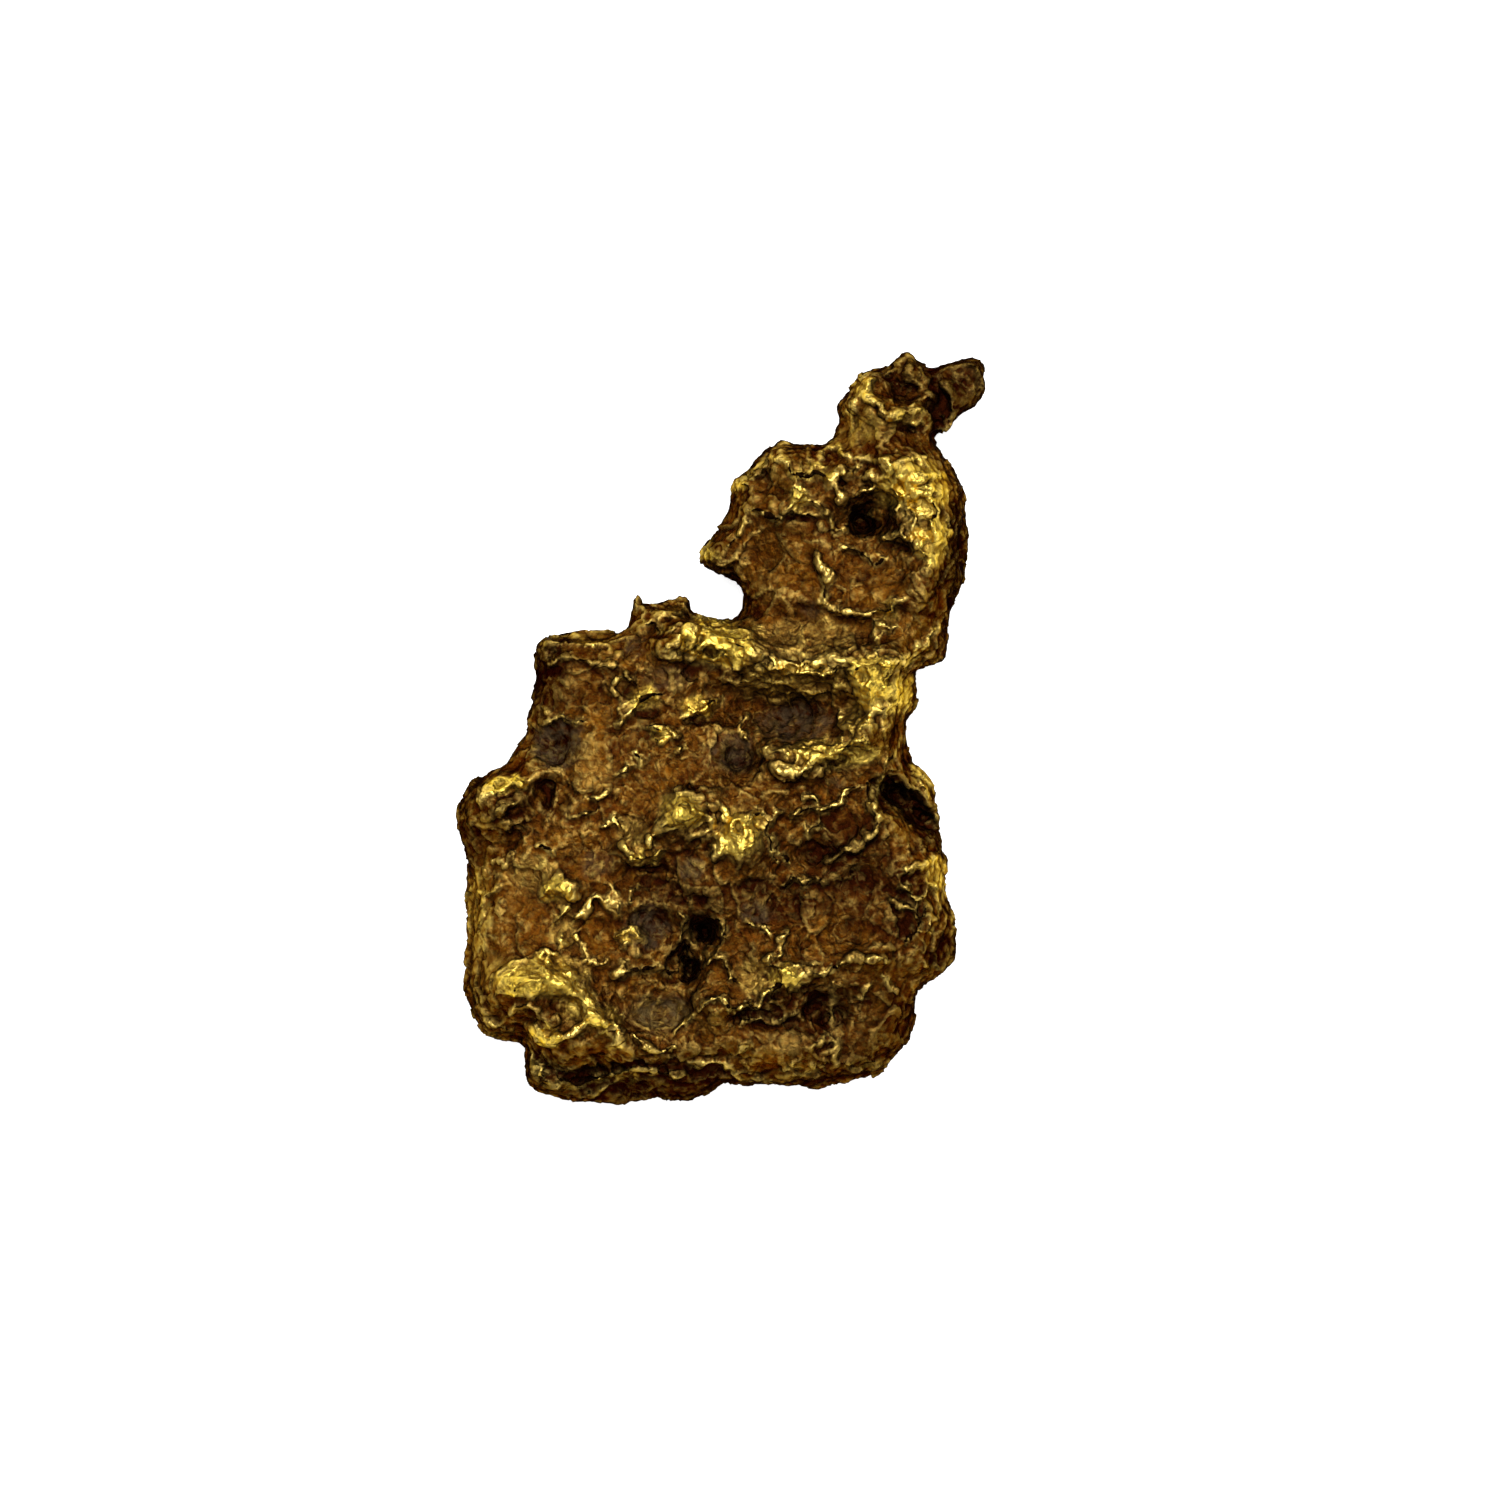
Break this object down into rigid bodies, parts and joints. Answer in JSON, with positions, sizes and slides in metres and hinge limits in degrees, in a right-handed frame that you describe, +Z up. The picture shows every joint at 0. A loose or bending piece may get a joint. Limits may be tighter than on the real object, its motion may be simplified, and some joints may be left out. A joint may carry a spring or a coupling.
{
  "type": "gold nugget",
  "caption": "Lumpy natural gold nugget lying flat, with a squarish pitted body, a narrower head and a small horn at the crown; an ornament or mineral specimen.",
  "frame": {"origin": "middle of the bounding box at its base, on the plane the nugget rests on", "axes": "+Y along the nugget's length from the foot of the body towards the crown, +Z up out of the broad face, +X to the right seen from above"},
  "size_m": [0.0212, 0.03, 0.0071],
  "materials": {
    "native_gold": "worn bright on the crests, iron-stained brown in the hollows"
  },
  "bodies": {
    "root": {"nugget": "native_gold"}
  },
  "joints": []
}
